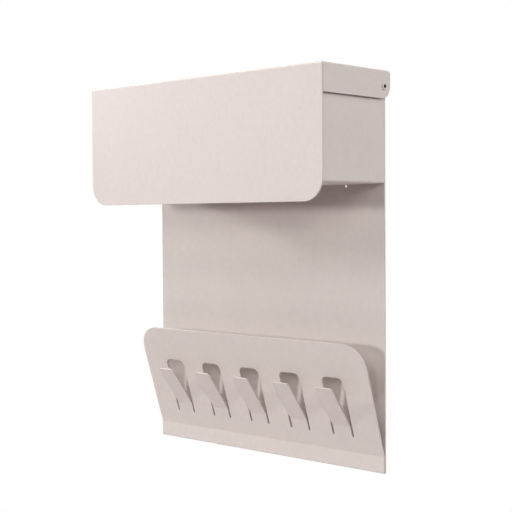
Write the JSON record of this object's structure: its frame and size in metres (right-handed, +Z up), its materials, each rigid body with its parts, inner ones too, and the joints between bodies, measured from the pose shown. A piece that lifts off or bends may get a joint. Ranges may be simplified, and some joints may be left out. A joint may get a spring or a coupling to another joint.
{
  "type": "wall coat rack",
  "caption": "Wall coat rack of folded sheet steel: a letter box with a lid that swings up, and below it a leaning flap with coat hooks cut and bent out of it.",
  "frame": {"origin": "on the wall, midway between the two wall screws", "axes": "+X to the right as seen from the front, +Y into the wall, +Z up"},
  "size_m": [0.413, 0.14, 0.4923],
  "materials": {
    "paint": "satin powder coat",
    "painted_screws": "satin powder coat",
    "zinc": "zinc plated",
    "nylon": "natural nylon",
    "rubber": "matt"
  },
  "bodies": {
    "rack": {"back_panel": "paint", "letter_box": "paint", "pivot_screw_left": "painted_screws", "pivot_screw_right": "painted_screws", "pivot_washer_left": "nylon", "pivot_washer_right": "nylon", "pivot_nut_left": "zinc", "pivot_nut_right": "zinc", "standoff_sleeve_left": "zinc", "standoff_sleeve_right": "zinc", "wall_buffer_left": "rubber", "wall_buffer_right": "rubber", "lid_buffer_left": "rubber", "lid_buffer_right": "rubber", "rivet_upper_left": "zinc", "rivet_upper_right": "zinc", "rivet_lower_left": "zinc", "rivet_lower_right": "zinc"},
    "lid": {"lid": "paint"}
  },
  "joints": [
    {"name": "lid_hinge", "type": "hinge", "parent": "rack", "child": "lid", "pos_m": [0, -0.023, 0.0325], "axis": [-1, 0, 0], "range_deg": [0, 91]}
  ]
}
